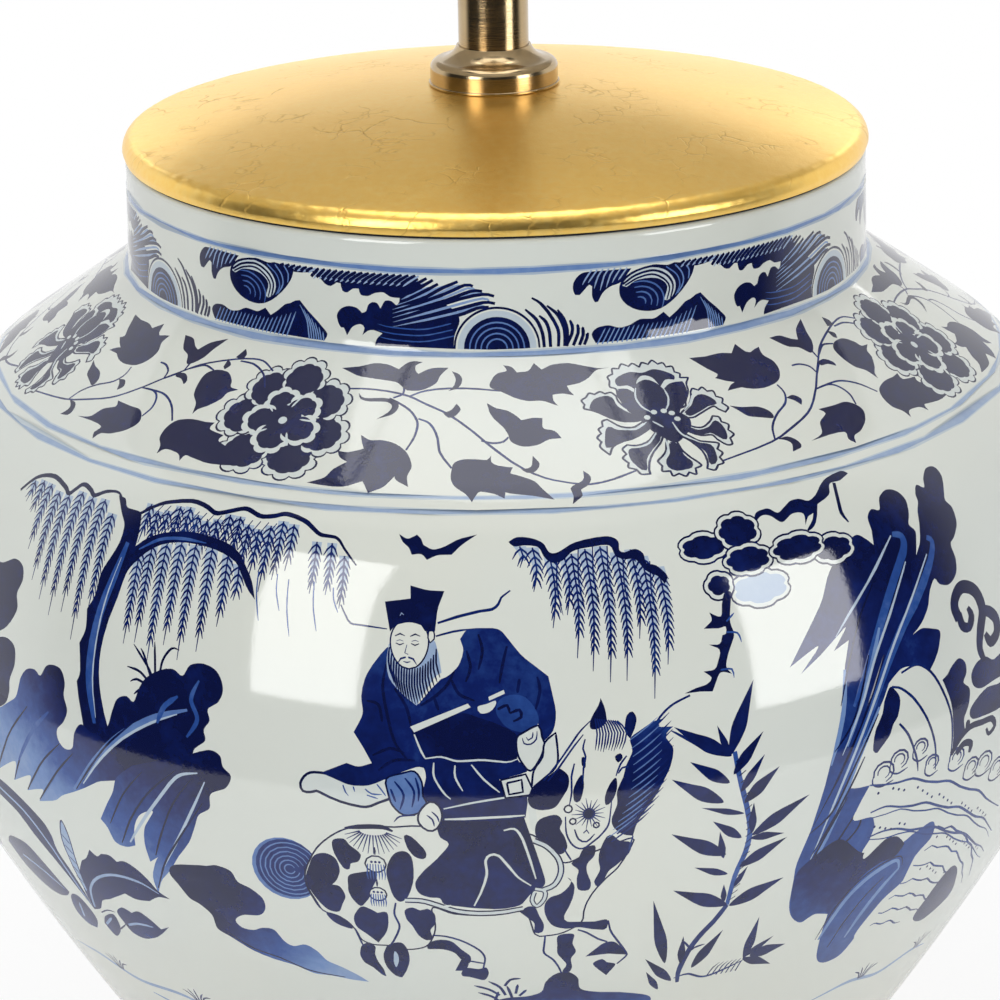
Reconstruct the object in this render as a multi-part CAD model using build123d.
from build123d import *
from math import asin, atan2, cos, radians, sin, sqrt, tan
import os

# A table lamp made from a wide-mouthed porcelain jar.  A threaded rod clamps plinth, jar, lid and
# neck together.  The lampholder and the harp saddle sit on top of the neck, and the harp carries
# the shade under a finial.  Sizes are in millimetres.  The origin is under the middle of the felt,
# +Z is up, and the front of the lamp, where the switch knob points, faces -Y.

# ---- edges: roundings shared by turned, pressed and moulded pieces -------------------------------
crisp_edge = 0.2
fine_edge = 0.3
turned_edge = 0.4
broken_edge = 0.5
soft_edge = 0.6
pressed_edge = 0.8
moulded_edge = 1.0
foot_edge = 1.2
overcut = 1.0                # a cutting tool passes this far beyond the face it cuts

# ---- foot: felt disc and turned plinth ---------------------------------------------------------
felt_thickness = 2.0
felt_inset = 4.0             # the felt stays this far inside the plinth's edge
plinth_height = 24.0
plinth_lip = 7.4             # wood left round the recess that holds the jar
plinth_spread = 10.0         # how far the lower roll stands out past the top bead
plinth_roll = 9.0            # height of the lower roll
roll_share = 0.48            # rounding of the lower roll over its height
plinth_step = 1.6            # height of the fillet between roll and cove
step_inset = 0.2             # the fillet stands back this far from the roll's rounding
cove_share = 0.9             # how much of the room between step and bead the cove fills
plinth_bead = 5.0            # height of the top bead
bead_share = 0.4             # rounding of the bead over its height
bead_projection = 1.5        # the bead stands out this far over the cove
recess_depth = 4.0
recess_clearance = 0.6
seat_ring_thickness = 1.0
plinth_web = 4.0             # wood between the recess and the cavity underneath
cavity_radius = 30.0
cord_hole_rise = 7.5         # centre of the cord hole above the plinth's underside
cord_hole_radius = 4.6
bushing_wall = 1.3
bushing_length = 12.0
bushing_flange = 1.6         # how far the flange reaches past the hole, and its thickness

# ---- porcelain jar -----------------------------------------------------------------------------
rim_radius = 101.6           # outside of the upright neck
neck_flare = 0.6             # the neck is this much wider at its root
neck_height = 29.3
neck_root_fillet = 3.0
shoulder_radius = 136.7      # where the straight slope of the shoulder ends
shoulder_drop = 52.8
belly_radius = 166.2         # the widest place
belly_drop = 126.0
jar_height = 275.0
jar_wall = 6.5
foot_radius = 100.0
foot_slope = 55.0            # degrees, of the wall where it meets the foot
upper_reach = 0.6            # share of the shoulder's tight arc in the upper belly
lower_reach = 0.6            # share of the belly's arc in the drawn-in lower part
foot_band = 8.0              # upright band of the foot
foot_ring_width = 12.0
foot_ring_height = 5.0
rim_rounding = 1.5
grommet_wall = 1.6
grommet_lip = 1.4

# ---- gilded wooden lid -------------------------------------------------------------------------
gasket_thickness = 0.8
gasket_inset = 0.9
lid_overhang = 0.7
lid_height = 16.7
lid_roll = 6.5               # radius of the rolled edge
lid_roll_rise = 2.1          # its centre above the lid's underside
lid_undercut = 0.5
spigot_depth = 8.0
spigot_clearance = 2.5
lid_hollow_depth = 5.0       # turned out of the underside, inside the spigot
lid_hollow_rim = 9.0
hollow_rounding = 1.5

# ---- brass neck and threaded rod ---------------------------------------------------------------
collar_radius = 17.5
collar_lip = 0.4
collar_lip_height = 0.8
collar_band = 4.5            # height of the upright band
collar_round = 2.4           # radius of the round above the band
collar_height = 10.7
collar_top_wall = 0.5        # edge of the cove where the tube enters
cove_sag = 0.14              # how far the cove sags below its chord, over its width and its height
collar_floor = 4.0
collar_seat_clearance = 0.6
tube_radius = 9.6
tube_wall = 1.0
tube_length = 86.0
tube_clearance = 0.05
cap_plate = 4.0
cap_overhang = 1.9
cap_spigot = 5.0
cap_rounding = 1.8
rod_radius = 4.9
rod_bore = 3.2
rod_clearance = 0.4
rod_stub = 2.4               # rod left below its nut
rod_entry = 10.5             # how far the rod reaches into the lampholder
rod_end_play = 0.5
foot_washer_radius = 22.0
foot_washer_thickness = 1.6
lock_washer_radius = 8.6
lock_washer_thickness = 1.3
lock_washer_gap = 0.8
nut_across_flats = 14.0
nut_chamfer = 0.6            # share of a nut's corner that is turned off
foot_nut_height = 5.0
top_nut_height = 2.5

# ---- lampholder --------------------------------------------------------------------------------
holder_cap_height = 14.5
holder_cap_wall = 0.8
hub_radius = 8.2
hub_height = 4.2
flank_share = 0.45           # height of the cup's sloping flank, over the cup's
flank_rounding = 4.0
hub_rounding = 1.2
hub_floor = 1.3              # pressed metal gathers to this many walls over the hub
shell_wall = 0.6
shell_length = 46.0
shell_overlap = 3.2          # shell inside the cap
shell_bead = 0.5
shell_bead_drop = 7.0
shell_bead_half = 0.6        # half the height of the bead's crest
shell_bead_slope = 1.0       # height of the slope on each side of it
shell_turn_in = 1.2          # of the edge at the mouth
shell_play = 0.05
liner_wall = 0.6
liner_short = 0.4            # the liner stays this far inside the shell's lower edge
liner_end_play = 0.3
liner_play = 0.12
body_play = 0.2
body_margin = 1.53           # the insulating body reaches this far past the lamp screw
body_height = 17.5
body_rise = 1.2              # floor of the insulating body above the shell's lower edge
screw_radius = 13.2          # free radius inside the lamp screw, which sets the holder's width
screw_wall = 0.5
screw_depth = 23.0
screw_floor_round = 4.0      # round between the lamp screw's wall and its floor
contact_width = 5.0
contact_thickness = 0.6
contact_rise = 3.4
contact_reach = 8.0
contact_foot = 2.8           # half of the tongue's foot
contact_lean = 0.9           # the tongue's rise leans back to this share of its foot
contact_bends = [0.8, 0.5]
terminal_head_radius = 3.1
terminal_head_height = 1.8
terminal_shank_radius = 1.6
terminal_shank_length = 5.0
terminal_share = 0.62        # height of the terminals, over the insulating body's
terminal_sunk = 0.4          # a terminal's head lies this far under the body's side
terminal_pocket_play = 0.5
terminal_slot_width = 1.2
terminal_slot_depth = 0.4
set_screw_radius = 1.6
set_screw_rise = 0.6         # the screw stands out of the hub this far
slot_width = 0.6             # screwdriver slots: across, and how deep
slot_depth = 0.7
knob_rise = 8.0              # centre of the switch shaft above the insulating body's floor
shaft_radius = 2.5
shaft_play = 0.08
shaft_depth = 9.0            # switch shaft inside the insulating body
shaft_hole_play = 0.8
knob_gap = 3.0               # between shell and knob
knob_length = 13.0
knob_radius = 6.6
knob_taper = 0.7
knob_grooves = 12
knob_groove_radius = 0.8
knob_groove_start = 1.6      # the flutes run from here to the knob's front
knob_front_rounding = 1.4
knob_bore_share = 0.7        # depth of the knob's blind bore, over its length
shaft_end_play = 0.3

# ---- harp, ferrules and finial -----------------------------------------------------------------
saddle_thickness = 1.6
saddle_width = 14.0
saddle_arm_width = 6.0
saddle_half_span = 30.0      # from the axis to a harp leg
saddle_bend = 3.2
saddle_arm_rise = 6.5        # top of the bent-up arm above the saddle's underside
post_radius = 1.9
post_length = 4.5
harp_wire_radius = 2.0
harp_size = 228.6            # from the saddle's underside to the harp's top
harp_leg = 34.0              # straight part of a leg
harp_half_width = 63.0
harp_hip = 0.36              # the harp is widest from here, as a share of its wire's height
harp_shoulder = 0.80         # up to here
harp_lean = 3.0              # it draws in by this much between them
harp_bends = [30, 44, 40, 12]    # radii, from a leg to the middle of the top
harp_top_half = 15.0         # half of the flat top
ferrule_wall = 2.1
ferrule_play = 0.1
ferrule_length = 13.0
ferrule_overlap = 4.2        # of the ferrule over the post
ferrule_band = 3.0           # height of the full-width band at each end
ferrule_slope = 0.6
ferrule_waist = 0.5          # depth of the waist between the bands
ferrule_edge = 0.7
stud_flange_radius = 5.6
stud_flange_height = 8.2
stud_radius = 3.1
stud_length = 13.0
stud_neck = 1.0              # the flange is this much slimmer at its foot
stud_rim = 1.6               # height of its upright rim
washer_radius = 13.0
washer_thickness = 2.0
washer_play = 0.5
stack_gap = 0.2              # between harp, shade and finial, which all turn freely
finial_hub_radius = 6.4
finial_hub_height = 14.0
finial_play = 0.1
stud_end_play = 0.6          # left over the stud's end inside the finial
finial_neck = 4.7            # radius of the waist between hub and cup
finial_foot = 3.0            # height of the hub's full-width foot
finial_foot_slope = 2.0
finial_cup = 2.6             # height of the flare under the ball
finial_cup_crown = 0.8       # the ball's seat rises this much to its middle
neck_roundings = [0.9, 1.5, 1.2]
finial_ball_radius = 11.0

# ---- shade -------------------------------------------------------------------------------------
shade_top_radius = 203.0
shade_bottom_radius = 228.6
shade_height = 252.0
shade_cover_wall = 0.6
shade_lining_wall = 0.6
shade_wire_radius = 1.75
shade_arm_count = 3
spider_drop = 13.0           # hub of the spider below the shade's top edge
arm_bend = 14.0              # an arm starts to rise this far inside the top ring
arm_bend_radius = 8.0
ring_inset = 0.3             # the wire rings lie this far inside the shade's edges
wire_play = 0.06             # radial room of loose fits round rods and wires
press_play = 0.02            # radial room left in press fits
trim_wall = 0.7
trim_height = 12.0

# ---- levels that follow from the sizes above ---------------------------------------------------
recess_radius = foot_radius + recess_clearance
plinth_top_radius = recess_radius + plinth_lip
plinth_radius = plinth_top_radius + plinth_spread
cove_radius = plinth_top_radius - bead_projection
z_plinth = felt_thickness
z_plinth_top = z_plinth + plinth_height
z_recess = z_plinth_top - recess_depth
z_cavity_top = z_recess - plinth_web
z_foot = z_recess + seat_ring_thickness
z_rim = z_foot + jar_height
z_jar_floor = z_foot + foot_ring_height + jar_wall
z_lid = z_rim + gasket_thickness
rod_hole_radius = rod_radius + rod_clearance
lid_radius = rim_radius + lid_overhang
roll_centre = lid_radius - lid_roll
collar_seat_radius = collar_radius + collar_lip + collar_seat_clearance


def lid_dome_radius():
    """Radius of the sphere that meets the rolled edge smoothly and peaks at the lid's height."""
    rise = lid_height - lid_roll_rise
    return (roll_centre ** 2 + rise ** 2 - lid_roll ** 2) / (2 * (rise - lid_roll))


def lid_surface(radius):
    """Height of the dome above the lid's underside, at a distance from the axis."""
    sphere = lid_dome_radius()
    return lid_height - sphere + sqrt(sphere ** 2 - radius ** 2)


z_collar = z_lid + lid_surface(collar_seat_radius)
z_tube = z_collar + collar_floor
z_neck_cap = z_tube + tube_length
z_top_nut = z_neck_cap + cap_plate
z_saddle = z_top_nut + top_nut_height
z_holder = z_saddle + saddle_thickness
z_shell = z_holder + holder_cap_height - shell_overlap
body_radius = screw_radius + screw_wall + body_margin
liner_radius = body_radius + body_play + liner_wall
shell_radius = liner_radius + liner_play + shell_wall
holder_radius = shell_radius + shell_play + holder_cap_wall
terminal_face = body_radius - terminal_head_height - terminal_sunk
z_body = z_shell + body_rise
z_screw = z_body + body_height
z_knob = z_body + knob_rise
z_post_top = z_saddle + saddle_arm_rise + post_length
z_harp_top = z_saddle + harp_size
z_harp_wire = z_harp_top - stud_flange_height / 2
z_washer = z_harp_top + stack_gap
z_finial = z_washer + washer_thickness + stack_gap
z_arm = z_washer + washer_thickness / 2
z_shade_top = z_arm + spider_drop
z_shade_bottom = z_shade_top - shade_height
z_top_ring = z_shade_top - shade_wire_radius - ring_inset


# ---- helpers -----------------------------------------------------------------------------------
def turned(*rows):
    """A turned piece, from the (radius, height, corner rounding) rows round its outline."""
    corners = [(radius, height) for radius, height, rounding in rows]
    roundings = [rounding for radius, height, rounding in rows]
    outline = FilletPolyline(*corners, radius=roundings, close=True)
    return revolve(Plane.XZ * make_face(outline), Axis.Z)


def ring(inner, outer, bottom, top, rounding=0.0):
    """A flat ring or a sleeve about the lamp's axis."""
    return turned((inner, bottom, rounding), (outer, bottom, rounding),
                  (outer, top, rounding), (inner, top, rounding))


def wire(path, radius):
    """Round wire along a path of lines and arcs."""
    return sweep(Plane(path @ 0, z_dir=path % 0) * Circle(radius), path=path)


def hoop(radius, height, wire_radius):
    """A closed ring of round wire."""
    return Pos(0, 0, height) * Torus(radius, wire_radius)


def rod_to(radius, start, end):
    """A round bar from one point to another."""
    span = Vector(end) - Vector(start)
    bar = Cylinder(radius, span.length, align=(Align.CENTER, Align.CENTER, Align.MIN))
    return Plane(start, z_dir=span) * bar


def hexagon_nut(bottom, height):
    """A hexagon nut on the rod, with its corners turned off."""
    flat = nut_across_flats / 2
    corner = flat / cos(radians(30))
    blank = Pos(0, 0, bottom) * extrude(RegularPolygon(flat, 6, major_radius=False), height)
    chamfer_drop = (corner - flat) * nut_chamfer
    turning = turned((rod_radius, bottom, 0), (corner - chamfer_drop, bottom, 0),
                     (corner, bottom + chamfer_drop, 0), (corner, bottom + height - chamfer_drop, 0),
                     (corner - chamfer_drop, bottom + height, 0), (rod_radius, bottom + height, 0))
    return blank & turning


# ---- foot --------------------------------------------------------------------------------------
def felt_pad():
    """The disc glued under the plinth, which closes its cavity."""
    return Cylinder(plinth_radius - felt_inset, felt_thickness,
                    align=(Align.CENTER, Align.CENTER, Align.MIN))


def base_plinth():
    """Roll, fillet, cove and bead, with a recess for the jar and a cavity for the nut."""
    z_roll = z_plinth + plinth_roll
    z_step = z_roll + plinth_step
    z_bead = z_plinth_top - plinth_bead
    roll_rounding = plinth_roll * roll_share
    step_radius = plinth_radius - roll_rounding - step_inset
    cove = min(z_bead - z_step, step_radius - cove_radius) * cove_share
    bead_rounding = min(plinth_bead * bead_share, bead_projection * cove_share)
    turning = turned(
        (cavity_radius, z_plinth, 0), (plinth_radius, z_plinth, roll_rounding),
        (plinth_radius, z_roll, roll_rounding), (step_radius, z_roll, 0),
        (step_radius, z_step, 0), (cove_radius, z_step, cove), (cove_radius, z_bead, 0),
        (plinth_top_radius, z_bead, bead_rounding),
        (plinth_top_radius, z_plinth_top, bead_rounding), (recess_radius, z_plinth_top, soft_edge),
        (recess_radius, z_recess, 0), (rod_hole_radius, z_recess, 0),
        (rod_hole_radius, z_cavity_top, 0), (cavity_radius, z_cavity_top, 0))
    z_hole = z_plinth + cord_hole_rise
    return turning - rod_to(cord_hole_radius, (0, 0, z_hole), (0, plinth_radius + overcut, z_hole))


def cord_bushing():
    """The insulating bushing that lines the cord hole at the back of the plinth."""
    z_hole = z_plinth + cord_hole_rise
    outside = cord_hole_radius - wire_play
    bore = outside - bushing_wall
    flange = outside + bushing_flange
    start = plinth_radius - bushing_length
    end = plinth_radius + bushing_flange
    rows = [(bore, 0, fine_edge), (outside, 0, fine_edge), (outside, bushing_length, 0),
            (flange, bushing_length, 0), (flange, end - start, pressed_edge), (bore, end - start, soft_edge)]
    return Plane((0, start, z_hole), z_dir=(0, 1, 0)) * turned(*rows)


def seat_ring():
    """The felt ring between the jar's foot and the plinth's recess."""
    return ring(foot_radius - foot_ring_width, foot_radius, z_recess, z_foot)


# ---- jar ---------------------------------------------------------------------------------------
def two_arcs(start, start_way, end, end_way, reach):
    """Joint of the two tangent arcs from start to end, and the way the line runs there.

    reach is the length of the first arc's tangent over that of the second.
    """
    chord = end - start
    turn = 2 * reach * (start_way.dot(end_way) - 1)
    along = 2 * chord.dot(start_way * reach + end_way)
    second = (along - sqrt(along ** 2 - 4 * turn * chord.dot(chord))) / (2 * turn)
    first = reach * second
    start_knee = start + start_way * first
    end_knee = end - end_way * second
    joint = start_knee + (end_knee - start_knee) * (first / (first + second))
    return joint, (end_knee - start_knee).normalized()


def inward(point, way, distance):
    """A point moved square to the line, to the inside of the jar."""
    return point + Vector(way.Y, -way.X) * distance


def jar_side(depth):
    """The jar's four tangent arcs from shoulder to foot, depth inside its outer face."""
    slope = shoulder_slope()
    down = Vector(0, -1)
    start = Vector(shoulder_radius, z_rim - shoulder_drop)
    start_way = Vector(cos(slope), -sin(slope))
    belly = Vector(belly_radius, z_rim - belly_drop)
    heel = Vector(foot_radius, z_foot + foot_band)
    heel_way = Vector(-cos(radians(foot_slope)), -sin(radians(foot_slope)))
    upper, upper_way = two_arcs(start, start_way, belly, down, upper_reach)
    lower, lower_way = two_arcs(belly, down, heel, heel_way, lower_reach)
    stations = [(start, start_way), (upper, upper_way), (belly, down), (lower, lower_way), (heel, heel_way)]
    inner = [(inward(point, way, depth), way) for point, way in stations]
    return [TangentArc(here, there, tangent=way) for (here, way), (there, onward) in zip(inner, inner[1:])]


def shoulder_slope():
    """Fall of the straight shoulder, from the neck's root to where the belly starts."""
    return atan2(shoulder_drop - neck_height, shoulder_radius - rim_radius - neck_flare)


def jar():
    """Upright neck, straight shoulder, full belly drawn in to a foot ring, all of one wall."""
    root = (rim_radius + neck_flare, z_rim - neck_height)
    neck_line = FilletPolyline((rim_radius, z_rim), root, (shoulder_radius, z_rim - shoulder_drop),
                               radius=[neck_root_fillet])
    outside = jar_side(0)
    inside = jar_side(jar_wall)
    inner_rim = (rim_radius - jar_wall, z_rim)
    inner_root = (root[0] - jar_wall, root[1] - jar_wall * tan(radians(45) - shoulder_slope() / 2))
    inner_neck = Polyline(inner_rim, inner_root, inside[0] @ 0)
    grommet_hole = rod_hole_radius + grommet_wall
    ring_inside = foot_radius - foot_ring_width
    z_under = z_foot + foot_ring_height
    base_line = FilletPolyline(
        inside[-1] @ 1, (ring_inside, z_jar_floor), (grommet_hole, z_jar_floor), (grommet_hole, z_under),
        (ring_inside, z_under), (ring_inside, z_foot), (foot_radius, z_foot), outside[-1] @ 1,
        radius=[0, 0, 0, 0, foot_edge, foot_edge])
    lip = Line((rim_radius, z_rim), inner_rim)
    outline = make_face(Curve() + [neck_line, *outside, base_line, *inside, inner_neck, lip])
    rim_corners = outline.vertices().group_by(Axis.Y)[-1]
    outline = fillet(rim_corners, rim_rounding)
    return revolve(Plane.XZ * outline, Axis.Z)


def rod_grommet():
    """The rubber bush that keeps the rod off the porcelain."""
    hole = rod_hole_radius + grommet_wall - wire_play
    lip = hole + grommet_lip
    z_under = z_foot + foot_ring_height
    return turned((rod_radius + wire_play, z_under, 0), (hole, z_under, 0), (hole, z_jar_floor, 0),
                  (lip, z_jar_floor, 0), (lip, z_jar_floor + grommet_lip, soft_edge),
                  (rod_radius + wire_play, z_jar_floor + grommet_lip, fine_edge))


# ---- lid ---------------------------------------------------------------------------------------
def lid_gasket():
    """The thin felt ring that keeps the lid off the glaze."""
    return ring(rim_radius - jar_wall + gasket_inset, rim_radius - gasket_inset, z_rim, z_lid)


def lid():
    """A shallow dome with a rolled edge, a seat for the collar and a spigot inside the mouth."""
    z_roll = z_lid + lid_roll_rise
    sphere = lid_dome_radius()
    meet = asin(roll_centre / (sphere - lid_roll))
    edge_top = (roll_centre + lid_roll * sin(meet), z_roll + lid_roll * cos(meet))
    edge_side = (lid_radius, z_roll)
    roll_middle = (roll_centre + lid_roll * sin((meet + radians(90)) / 2),
                   z_roll + lid_roll * cos((meet + radians(90)) / 2))
    seat_edge = (collar_seat_radius, z_collar)
    half = (roll_centre + collar_seat_radius) / 2
    dome_middle = (half, z_lid + lid_surface(half))
    spigot = rim_radius - jar_wall - spigot_clearance
    hollow = spigot - lid_hollow_rim
    z_spigot = z_lid - spigot_depth
    underside = FilletPolyline(
        seat_edge, (rod_hole_radius, z_collar), (rod_hole_radius, z_spigot + lid_hollow_depth),
        (hollow, z_spigot + lid_hollow_depth), (hollow, z_spigot), (spigot, z_spigot), (spigot, z_lid),
        (lid_radius - lid_undercut, z_lid), edge_side,
        radius=[0, 0, hollow_rounding, 0, moulded_edge, 0, 0])
    outline = make_face(Curve() + [ThreePointArc(edge_side, roll_middle, edge_top),
                                   ThreePointArc(edge_top, dome_middle, seat_edge), underside])
    return revolve(Plane.XZ * outline, Axis.Z)


# ---- neck --------------------------------------------------------------------------------------
def neck_collar():
    """Upright band, round and cove, bored for the rod and counterbored for the tube."""
    entry = tube_radius + tube_clearance
    z_band = z_collar + collar_band
    z_top = z_collar + collar_height
    cove_top = entry + collar_top_wall
    cove_start = (collar_radius - collar_round, z_band + collar_round)
    turning = FilletPolyline(
        (cove_top, z_top), (entry, z_top), (entry, z_tube), (rod_hole_radius, z_tube),
        (rod_hole_radius, z_collar), (collar_radius + collar_lip, z_collar),
        (collar_radius + collar_lip, z_collar + collar_lip_height),
        (collar_radius, z_collar + collar_lip_height), (collar_radius, z_band),
        radius=[0, 0, 0, 0, crisp_edge, crisp_edge, 0])
    shoulder = RadiusArc((collar_radius, z_band), cove_start, -collar_round)
    fall = (cove_start[0] - cove_top, z_top - cove_start[1])
    cove_middle = (cove_top + fall[0] * (0.5 - cove_sag), z_top - fall[1] * (0.5 + cove_sag))
    cove = ThreePointArc(cove_start, cove_middle, (cove_top, z_top))
    return revolve(Plane.XZ * make_face(Curve() + [turning, shoulder, cove]), Axis.Z)


def neck_tube():
    """The plain tube between collar and cap, round the rod."""
    return ring(tube_radius - tube_wall, tube_radius, z_tube, z_neck_cap)


def neck_cap():
    """The turned plate that closes the tube and takes the clamping force."""
    edge = tube_radius + cap_overhang
    spigot = tube_radius - tube_wall - tube_clearance
    z_spigot = z_neck_cap - cap_spigot
    return turned((rod_hole_radius, z_spigot, 0), (spigot, z_spigot, broken_edge),
                  (spigot, z_neck_cap, 0), (edge, z_neck_cap, pressed_edge), (edge, z_top_nut, cap_rounding),
                  (rod_hole_radius, z_top_nut, 0))


# ---- rod and its fastenings --------------------------------------------------------------------
def lamp_rod():
    """The tubular rod from under the plinth up into the lampholder."""
    z_washer_foot = z_cavity_top - foot_washer_thickness - lock_washer_thickness
    bottom = z_washer_foot - foot_nut_height - rod_stub
    return ring(rod_bore, rod_radius, bottom, z_holder + rod_entry, turned_edge)


def foot_washer():
    """The wide washer that spreads the nut's force under the plinth."""
    return ring(rod_hole_radius, foot_washer_radius, z_cavity_top - foot_washer_thickness, z_cavity_top)


def lock_washer():
    """A split spring washer, a little open at its cut."""
    top = z_cavity_top - foot_washer_thickness
    washer = ring(rod_radius + wire_play, lock_washer_radius, top - lock_washer_thickness, top)
    cut = Pos(lock_washer_radius / 2 + rod_radius / 2, 0, top) * Box(
        lock_washer_radius, lock_washer_gap, 3 * lock_washer_thickness)
    return washer - cut


def foot_nut():
    """The nut under the plinth, which holds the whole lamp together."""
    top = z_cavity_top - foot_washer_thickness - lock_washer_thickness
    return hexagon_nut(top - foot_nut_height, foot_nut_height)


def top_nut():
    """The thin nut on top of the neck."""
    return hexagon_nut(z_top_nut, top_nut_height)


# ---- lampholder --------------------------------------------------------------------------------
def holder_cap():
    """The pressed cup, with a tapped hub and a set screw hole."""
    z_hub = z_holder + hub_height
    z_edge = z_holder + holder_cap_height
    inside = holder_radius - holder_cap_wall
    flank = z_hub + (z_edge - z_hub) * flank_share
    floor = z_hub + holder_cap_wall * hub_floor
    cup = turned(
        (rod_radius + wire_play, z_holder, 0), (hub_radius, z_holder, pressed_edge),
        (hub_radius, z_hub, hub_rounding), (holder_radius, flank, flank_rounding),
        (holder_radius, z_edge, fine_edge), (inside, z_edge, fine_edge),
        (inside, flank + holder_cap_wall, flank_rounding - holder_cap_wall),
        (hub_radius, floor, 0), (rod_radius + wire_play, floor, 0))
    z_set = z_holder + hub_height / 2
    return cup - rod_to(set_screw_radius + wire_play, (0, 0, z_set), (hub_radius + overcut, 0, z_set))


def set_screw():
    """The slotted screw that keeps the cup from turning on the rod."""
    z_set = z_holder + hub_height / 2
    end = hub_radius + set_screw_rise
    screw = rod_to(set_screw_radius, (rod_radius + wire_play, 0, z_set), (end, 0, z_set))
    return screw - Pos(end, 0, z_set) * Box(2 * slot_depth, 3 * set_screw_radius, slot_width)


def shaft_hole(outside):
    """The round hole at the front that the switch shaft passes through."""
    start = -holder_radius - overcut
    return rod_to(shaft_radius + shaft_hole_play, (0, start, z_knob), (0, -outside, z_knob))


def holder_shell():
    """The brass sleeve, with one rolled bead and an edge turned in at its mouth."""
    inside = shell_radius - shell_wall
    z_mouth = z_shell + shell_length
    z_bead = z_mouth - shell_bead_drop
    crest = shell_radius + shell_bead
    bead_reach = shell_bead_half + shell_bead_slope
    sleeve = turned(
        (inside, z_shell, 0), (shell_radius, z_shell, crisp_edge),
        (shell_radius, z_bead - bead_reach, broken_edge), (crest, z_bead - shell_bead_half, turned_edge),
        (crest, z_bead + shell_bead_half, turned_edge), (shell_radius, z_bead + bead_reach, broken_edge),
        (shell_radius, z_mouth, pressed_edge), (inside - shell_turn_in, z_mouth, 0),
        (inside - shell_turn_in, z_mouth - shell_wall, 0), (inside, z_mouth - shell_wall, fine_edge))
    return sleeve - shaft_hole(body_radius)


def shell_liner():
    """The card sleeve that insulates the shell from the live parts."""
    sleeve = ring(liner_radius - liner_wall, liner_radius, z_shell + liner_short,
                  z_shell + shell_length - shell_wall - liner_end_play)
    return sleeve - shaft_hole(body_radius)


def terminal_places():
    """The two sides of the insulating body that carry a terminal screw."""
    return [(side, z_body + body_height * terminal_share) for side in (-1, 1)]


def holder_body():
    """The moulded block that carries terminals, switch and lamp screw."""
    block = turned((0, z_body, 0), (body_radius, z_body, moulded_edge),
                   (body_radius, z_screw, pressed_edge), (0, z_screw, 0))
    block -= rod_to(rod_radius + rod_clearance, (0, 0, z_body - overcut),
                    (0, 0, z_holder + rod_entry + rod_end_play))
    block -= rod_to(shaft_radius + shaft_play, (0, -body_radius - overcut, z_knob),
                    (0, -body_radius + shaft_depth, z_knob))
    pocket = terminal_head_radius + terminal_pocket_play
    for side, height in terminal_places():
        face = side * terminal_face
        block -= rod_to(pocket, (face, 0, height), (side * (body_radius + overcut), 0, height))
        block -= rod_to(terminal_shank_radius + wire_play, (face, 0, height),
                        (face - side * terminal_shank_length, 0, height))
    return block


def terminal_screws():
    """The two slotted screws that the cord's wires are fixed under."""
    shank = terminal_shank_length
    length = shank + terminal_head_height
    screw = turned((0, 0, 0), (terminal_shank_radius, 0, fine_edge), (terminal_shank_radius, shank, 0),
                   (terminal_head_radius, shank, 0), (terminal_head_radius, length, broken_edge),
                   (0, length, 0))
    screw -= Pos(0, 0, length) * Box(terminal_slot_width, 3 * terminal_head_radius, 2 * terminal_slot_depth)
    foot = terminal_face - shank
    return Compound(children=[Plane((side * foot, 0, height), x_dir=(0, 0, 1), z_dir=(side, 0, 0)) * screw
                              for side, height in terminal_places()])


def screw_shell():
    """The lamp screw's sleeve, with a floor flange that is riveted to the insulating body."""
    outside = screw_radius + screw_wall
    return turned((contact_width, z_screw, 0), (outside, z_screw, screw_floor_round + screw_wall),
                  (outside, z_screw + screw_depth, crisp_edge),
                  (screw_radius, z_screw + screw_depth, crisp_edge),
                  (screw_radius, z_screw + screw_wall, screw_floor_round),
                  (contact_width, z_screw + screw_wall, 0))


def centre_contact():
    """The springy tongue that touches the lamp's tip, standing in the flange's opening."""
    z_strip = z_screw + contact_thickness / 2
    path = FilletPolyline((-contact_foot, z_strip), (0, z_strip),
                          (contact_foot * contact_lean, z_screw + contact_rise),
                          (-contact_reach / 2, z_screw + contact_rise), radius=contact_bends)
    strip = trace(path, contact_thickness)
    return Plane.XZ * extrude(strip, contact_width / 4, both=True)


def switch_shaft():
    """The insulating shaft that carries the knob."""
    start = (0, -body_radius + shaft_depth - shaft_end_play, z_knob)
    end = (0, -(shell_radius + knob_gap + knob_length * knob_bore_share), z_knob)
    return rod_to(shaft_radius, start, end)


def switch_knob():
    """A fluted, slightly tapered knob, pushed on the switch shaft."""
    depth = knob_length * knob_bore_share
    bore = shaft_radius + press_play
    front = Plane((0, -(shell_radius + knob_gap), z_knob), z_dir=(0, -1, 0))
    blank = turned((bore, 0, 0), (knob_radius, 0, broken_edge),
                   (knob_radius - knob_taper, knob_length, knob_front_rounding), (0, knob_length, 0),
                   (0, depth, 0), (bore, depth, 0))
    for step in range(knob_grooves):
        angle = radians(360 / knob_grooves * step)
        centre = (knob_radius * cos(angle), knob_radius * sin(angle))
        blank -= rod_to(knob_groove_radius, (*centre, knob_groove_start), (*centre, knob_length + overcut))
    return front * blank


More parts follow.
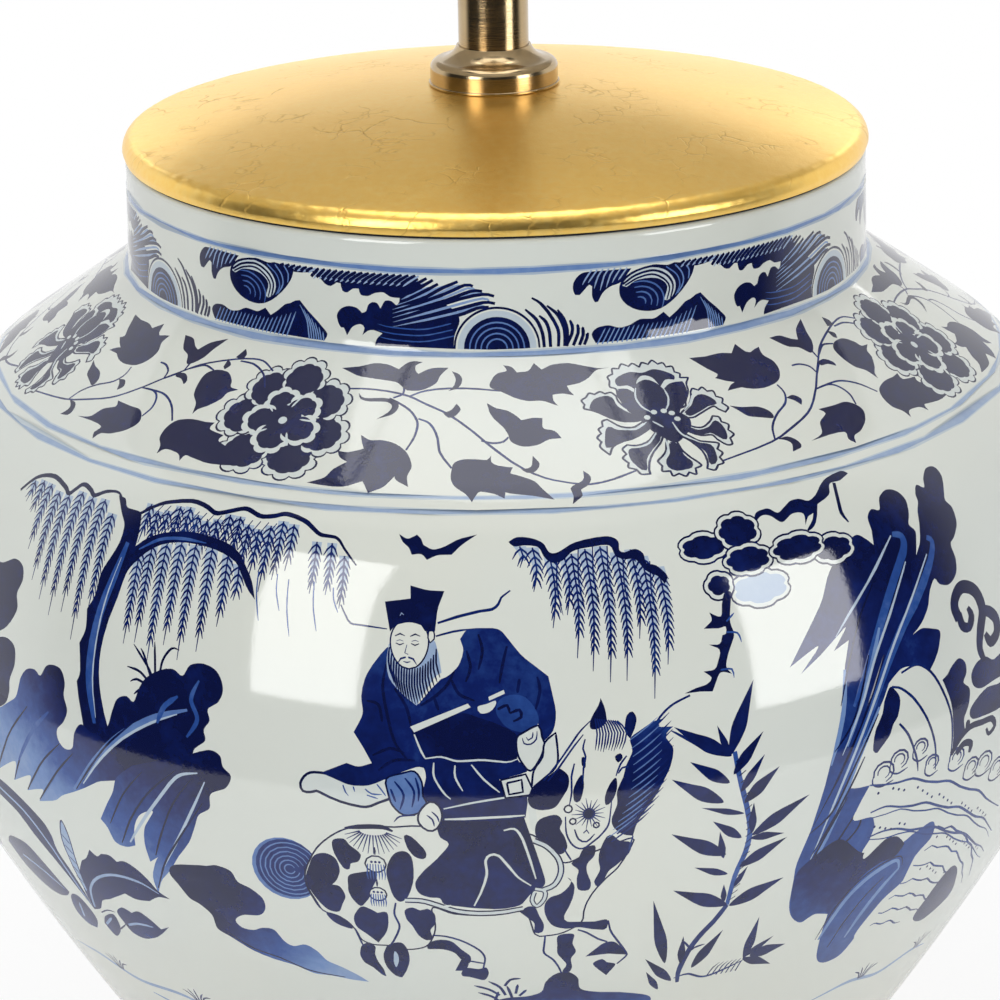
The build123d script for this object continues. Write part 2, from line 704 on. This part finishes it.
# ---- harp --------------------------------------------------------------------------------------
def harp_saddle():
    """A strip with a round middle, bent up at both ends into posts for the harp's legs."""
    mid = saddle_thickness / 2
    z_arm_top = z_saddle + saddle_arm_rise
    path = FilletPolyline((-saddle_half_span, z_arm_top), (-saddle_half_span, z_saddle + mid),
                          (saddle_half_span, z_saddle + mid), (saddle_half_span, z_arm_top),
                          radius=[saddle_bend, saddle_bend])
    strip = Plane.XZ * extrude(trace(path, saddle_thickness), saddle_width / 2, both=True)
    reach = saddle_half_span + saddle_thickness
    plan = Rectangle(2 * reach, saddle_arm_width) + Circle(saddle_width / 2)
    saddle = strip & Pos(0, 0, z_saddle) * extrude(plan, saddle_arm_rise)
    saddle -= rod_to(rod_hole_radius, (0, 0, z_saddle - overcut), (0, 0, z_holder + overcut))
    for side in (-1, 1):
        x = side * saddle_half_span
        saddle += rod_to(post_radius, (x, 0, z_arm_top - post_length), (x, 0, z_post_top))
    return saddle


def harp_path():
    """Right half of the harp's line, in its plane, from the foot of a leg to the middle of the top."""
    height = z_harp_wire - z_post_top
    return [(saddle_half_span, z_post_top), (saddle_half_span, z_post_top + harp_leg),
            (harp_half_width, z_post_top + height * harp_hip),
            (harp_half_width - harp_lean, z_post_top + height * harp_shoulder),
            (harp_top_half, z_harp_wire)]


def harp_wire():
    """The bent wire from one post over the bulb to the other, in one piece."""
    half = harp_path()
    points = [(-x, z) for x, z in half] + [(x, z) for x, z in reversed(half)]
    line = Plane.XZ * FilletPolyline(*points, radius=harp_bends + harp_bends[::-1])
    return wire(line, harp_wire_radius)


def harp_stud():
    """The swivel post: a flange that the wire passes through, and a threaded stud for the finial."""
    post = turned((0, z_harp_top - stud_flange_height, 0),
                  (stud_flange_radius - stud_neck, z_harp_top - stud_flange_height, moulded_edge),
                  (stud_flange_radius, z_harp_top - stud_rim, 0),
                  (stud_flange_radius, z_harp_top, turned_edge),
                  (stud_radius, z_harp_top, 0), (stud_radius, z_harp_top + stud_length, soft_edge),
                  (0, z_harp_top + stud_length, 0))
    reach = stud_flange_radius + overcut
    return post - rod_to(harp_wire_radius + press_play, (-reach, 0, z_harp_wire), (reach, 0, z_harp_wire))


def ferrule(side):
    """The sleeve that locks a harp leg to its post."""
    bore = harp_wire_radius + ferrule_play
    outside = bore + ferrule_wall
    bottom = z_post_top - ferrule_overlap
    top = bottom + ferrule_length
    waist = outside - ferrule_waist
    slope = ferrule_band + ferrule_slope
    sleeve = turned((bore, bottom, crisp_edge), (outside, bottom, ferrule_edge),
                    (outside, bottom + ferrule_band, fine_edge), (waist, bottom + slope, fine_edge),
                    (waist, top - slope, fine_edge), (outside, top - ferrule_band, fine_edge),
                    (outside, top, ferrule_edge), (bore, top, crisp_edge))
    return Pos(side * saddle_half_span, 0, 0) * sleeve


# ---- shade -------------------------------------------------------------------------------------
def shade_outside(height):
    """Radius of the shade's outer face at a height."""
    share = (z_shade_top - height) / shade_height
    return shade_top_radius + (shade_bottom_radius - shade_top_radius) * share


def shade_band(inset, wall, bottom, top):
    """A conical band that lies inset from the shade's outer face."""
    low = shade_outside(bottom) - inset
    high = shade_outside(top) - inset
    return turned((low - wall, bottom, 0), (low, bottom, 0), (high, top, 0), (high - wall, top, 0))


def shade_cover():
    """The linen, as one conical band."""
    return shade_band(0, shade_cover_wall, z_shade_bottom, z_shade_top)


def shade_lining():
    """The stiff backing that the linen is glued to."""
    return shade_band(shade_cover_wall, shade_lining_wall, z_shade_bottom, z_shade_top)


def shade_ring_radius(height):
    """Radius of a wire ring that lies against the lining."""
    return shade_outside(height) - shade_cover_wall - shade_lining_wall - shade_wire_radius - wire_play


def shade_top_ring():
    return hoop(shade_ring_radius(z_top_ring), z_top_ring, shade_wire_radius)


def shade_bottom_ring():
    """The larger ring, small enough to clear the lining where that is narrowest beside it."""
    height = z_shade_bottom + shade_wire_radius + ring_inset
    return hoop(shade_ring_radius(height + shade_wire_radius), height, shade_wire_radius)


def spider_arms():
    """Wires from the washer out and up to the top ring, at equal turns, one of them at the back."""
    reach = shade_ring_radius(z_top_ring)
    path = Plane.XZ * FilletPolyline(
        (washer_radius + wire_play, z_arm), (reach - arm_bend, z_arm),
        (reach, z_top_ring - shade_wire_radius), radius=[arm_bend_radius])
    arm = wire(path, shade_wire_radius)
    arm -= hoop(reach, z_top_ring, shade_wire_radius + wire_play)
    arms = [Rot(0, 0, 90 + 360 / shade_arm_count * step) * arm for step in range(shade_arm_count)]
    return Compound(children=arms)


def spider_washer():
    """The washer between harp and finial, which the three arms are fixed to."""
    bore = stud_radius + washer_play
    return ring(bore, washer_radius, z_washer, z_washer + washer_thickness, turned_edge)


def trim(bottom):
    """Cloth tape glued round an edge of the shade."""
    return shade_band(-trim_wall, trim_wall, bottom, bottom + trim_height)


def shade_bottom_trim():
    return trim(z_shade_bottom)


def shade_top_trim():
    return trim(z_shade_top - trim_height)


# ---- finial ------------------------------------------------------------------------------------
def finial_base():
    """The tapped brass hub, drawn in to a waist, with a cup for the ball."""
    top = z_finial + finial_hub_height
    bore = stud_radius + finial_play
    bore_top = z_harp_top + stud_length + stud_end_play
    z_slope = z_finial + finial_foot
    foot_round, waist_round, cup_round = neck_roundings
    return turned((bore, z_finial, fine_edge), (finial_hub_radius, z_finial, pressed_edge),
                  (finial_hub_radius, z_slope, foot_round),
                  (finial_neck, z_slope + finial_foot_slope, waist_round),
                  (finial_neck, top - finial_cup, cup_round), (finial_hub_radius, top, 0),
                  (0, top + finial_cup_crown, 0), (0, bore_top, 0), (bore, bore_top, 0))


def finial_ball():
    """The gilded ball, flattened where it sits in its cup."""
    top = z_finial + finial_hub_height
    centre = top + sqrt(finial_ball_radius ** 2 - finial_hub_radius ** 2)
    ball = Pos(0, 0, centre) * Sphere(finial_ball_radius)
    wide = 2 * finial_ball_radius
    cup = turned((0, top - wide, 0), (wide, top - wide, 0), (wide, top, 0), (finial_hub_radius, top, 0),
                 (0, top + finial_cup_crown, 0))
    return ball - cup


# ---- one file for each piece -------------------------------------------------------------------
pieces = {
    "felt_pad": felt_pad, "base_plinth": base_plinth, "cord_bushing": cord_bushing,
    "seat_ring": seat_ring, "jar": jar, "rod_grommet": rod_grommet,
    "lid_gasket": lid_gasket, "lid": lid,
    "neck_collar": neck_collar, "neck_tube": neck_tube, "neck_cap": neck_cap,
    "lamp_rod": lamp_rod, "foot_washer": foot_washer, "lock_washer": lock_washer,
    "foot_nut": foot_nut, "top_nut": top_nut,
    "holder_cap": holder_cap, "set_screw": set_screw, "holder_shell": holder_shell,
    "shell_liner": shell_liner, "holder_body": holder_body, "terminal_screws": terminal_screws,
    "screw_shell": screw_shell, "centre_contact": centre_contact,
    "switch_shaft": switch_shaft, "switch_knob": switch_knob,
    "harp_saddle": harp_saddle, "harp_wire": harp_wire, "harp_stud": harp_stud,
    "ferrule_left": lambda: ferrule(-1), "ferrule_right": lambda: ferrule(1),
    "shade_cover": shade_cover, "shade_lining": shade_lining,
    "shade_top_ring": shade_top_ring, "shade_bottom_ring": shade_bottom_ring,
    "spider_arms": spider_arms, "spider_washer": spider_washer,
    "shade_bottom_trim": shade_bottom_trim, "shade_top_trim": shade_top_trim,
    "finial_base": finial_base, "finial_ball": finial_ball,
}

os.makedirs("parts", exist_ok=True)
for name, make in pieces.items():
    export_step(make(), f"parts/{name}.step")
print(len(pieces), "pieces; shade from", round(z_shade_bottom, 1), "to", round(z_shade_top, 1),
      "; rim at", round(z_rim, 1), "; lampholder mouth at", round(z_screw + screw_depth, 1))
